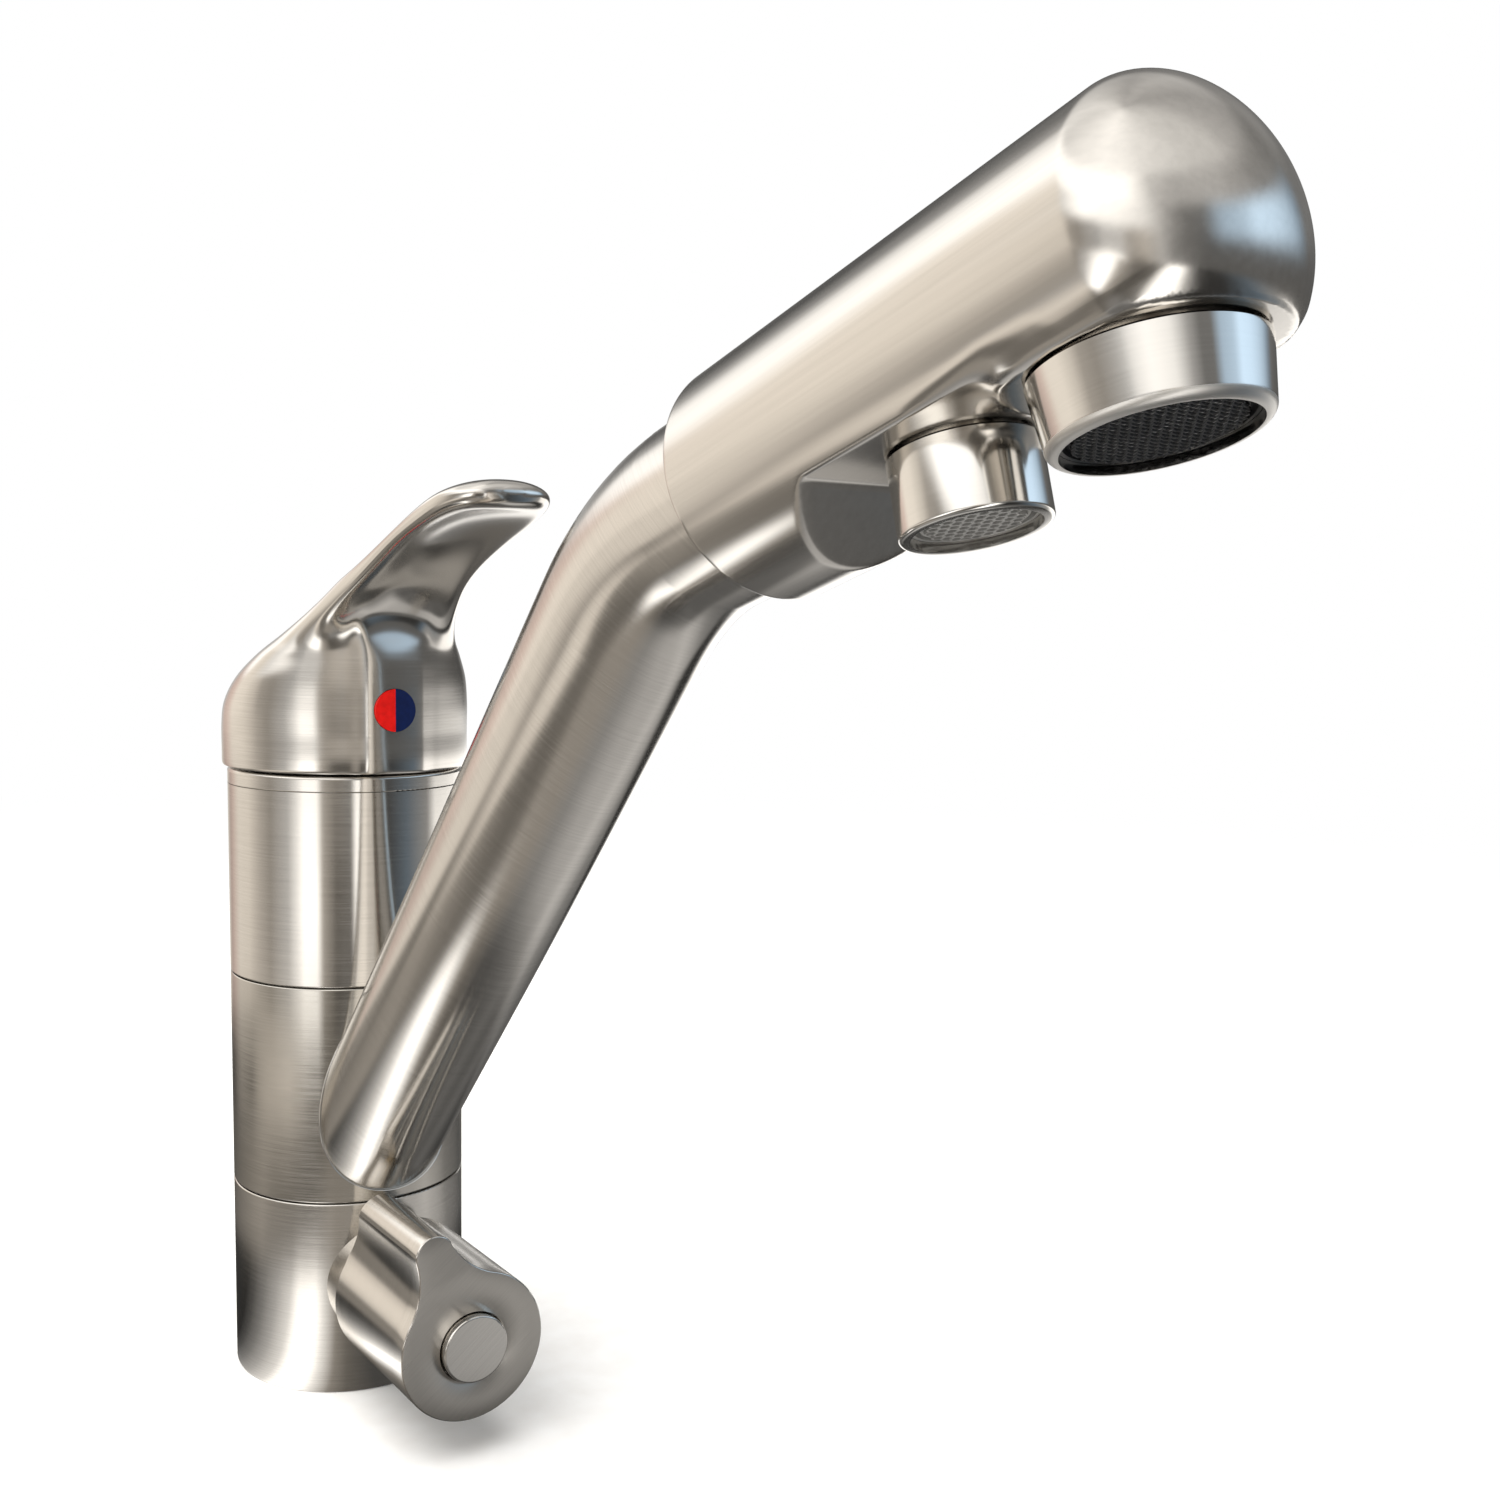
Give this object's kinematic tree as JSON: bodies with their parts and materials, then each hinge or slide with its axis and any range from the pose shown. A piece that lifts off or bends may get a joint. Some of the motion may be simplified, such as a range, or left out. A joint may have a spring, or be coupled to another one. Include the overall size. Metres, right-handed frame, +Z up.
{
  "type": "three-way kitchen tap",
  "caption": "Round-bodied mixer tap with a slanted swivelling spout, an angled head with a main and a filtered-water nozzle, a curved top lever and a front filter knob.",
  "frame": {"origin": "centre of the base's underside, on the body's axis", "axes": "+Z up along the body's axis; the front, with the spout, the lever's tip and the filter knob, is -Y; +X is to the right seen from the front"},
  "size_m": [0.052, 0.2643, 0.225],
  "materials": {
    "brushed_nickel": "satin, brushed",
    "polished_nickel": "polished rim, satin face",
    "brass": "machined",
    "steel": "machined",
    "rubber": "matt",
    "white_plastic": "moulded",
    "hose_plastic": "extruded",
    "rotor_plastic": "moulded",
    "ceramic": "lapped ceramic",
    "black_plastic": "moulded",
    "grey_plastic": "moulded",
    "red_enamel": "glossy",
    "blue_enamel": "glossy"
  },
  "bodies": {
    "base": {"lower_body": "brushed_nickel", "base_seal": "rubber", "core_column": "brass", "column_seals": "rubber", "glide_rings": "white_plastic", "upper_body": "brushed_nickel", "trim_ring": "brushed_nickel", "cartridge_nut": "brass", "cartridge_housing": "white_plastic", "cartridge_base": "white_plastic", "cartridge_seals": "rubber", "fixed_disc": "ceramic", "valve_flange": "brushed_nickel", "valve_insert": "brass", "valve_seal": "rubber", "valve_washer": "rubber", "valve_fixed_disc": "ceramic"},
    "spout": {"swivel_collar": "brushed_nickel", "spout_tube": "brushed_nickel", "filter_tube": "hose_plastic", "tube_seal": "rubber", "spout_head": "brushed_nickel", "main_nozzle": "brushed_nickel", "main_aerator": "black_plastic", "main_washer": "rubber", "filter_nozzle": "brushed_nickel", "filter_aerator": "grey_plastic", "filter_washer": "rubber"},
    "rotor": {"cartridge_rotor": "rotor_plastic", "pivot_pin": "steel"},
    "disc": {"mixing_disc": "ceramic"},
    "handle": {"spindle": "steel", "lever": "brushed_nickel", "lever_screw": "steel", "hot_marker": "red_enamel", "cold_marker": "blue_enamel"},
    "knob": {"valve_moving_disc": "ceramic", "valve_spindle": "brass", "filter_knob": "brushed_nickel", "knob_screw": "steel", "knob_cap": "polished_nickel"}
  },
  "joints": [
    {"name": "spout_swivel", "type": "hinge", "parent": "base", "child": "spout", "pos_m": [0, 0, 0.0655], "axis": [0, 0, 1], "continuous": true},
    {"name": "lever_turn", "type": "hinge", "parent": "base", "child": "rotor", "pos_m": [0, 0, 0.1244], "axis": [0, 0, 1], "range_deg": [-50, 50]},
    {"name": "lever_lift", "type": "hinge", "parent": "rotor", "child": "handle", "pos_m": [0, 0, 0.1244], "axis": [-1, 0, 0], "range_deg": [0, 25]},
    {"name": "disc_slide", "type": "slide", "parent": "rotor", "child": "disc", "axis": [0, -1, 0], "range_m": [0, 0.0046]},
    {"name": "knob_turn", "type": "hinge", "parent": "base", "child": "knob", "pos_m": [0, 0, 0.024], "axis": [0, -1, 0], "range_deg": [-90, 0]}
  ],
  "couplings": [
    {"joint": "disc_slide", "follows": "lever_lift", "m_per_rad": 0.010073}
  ]
}
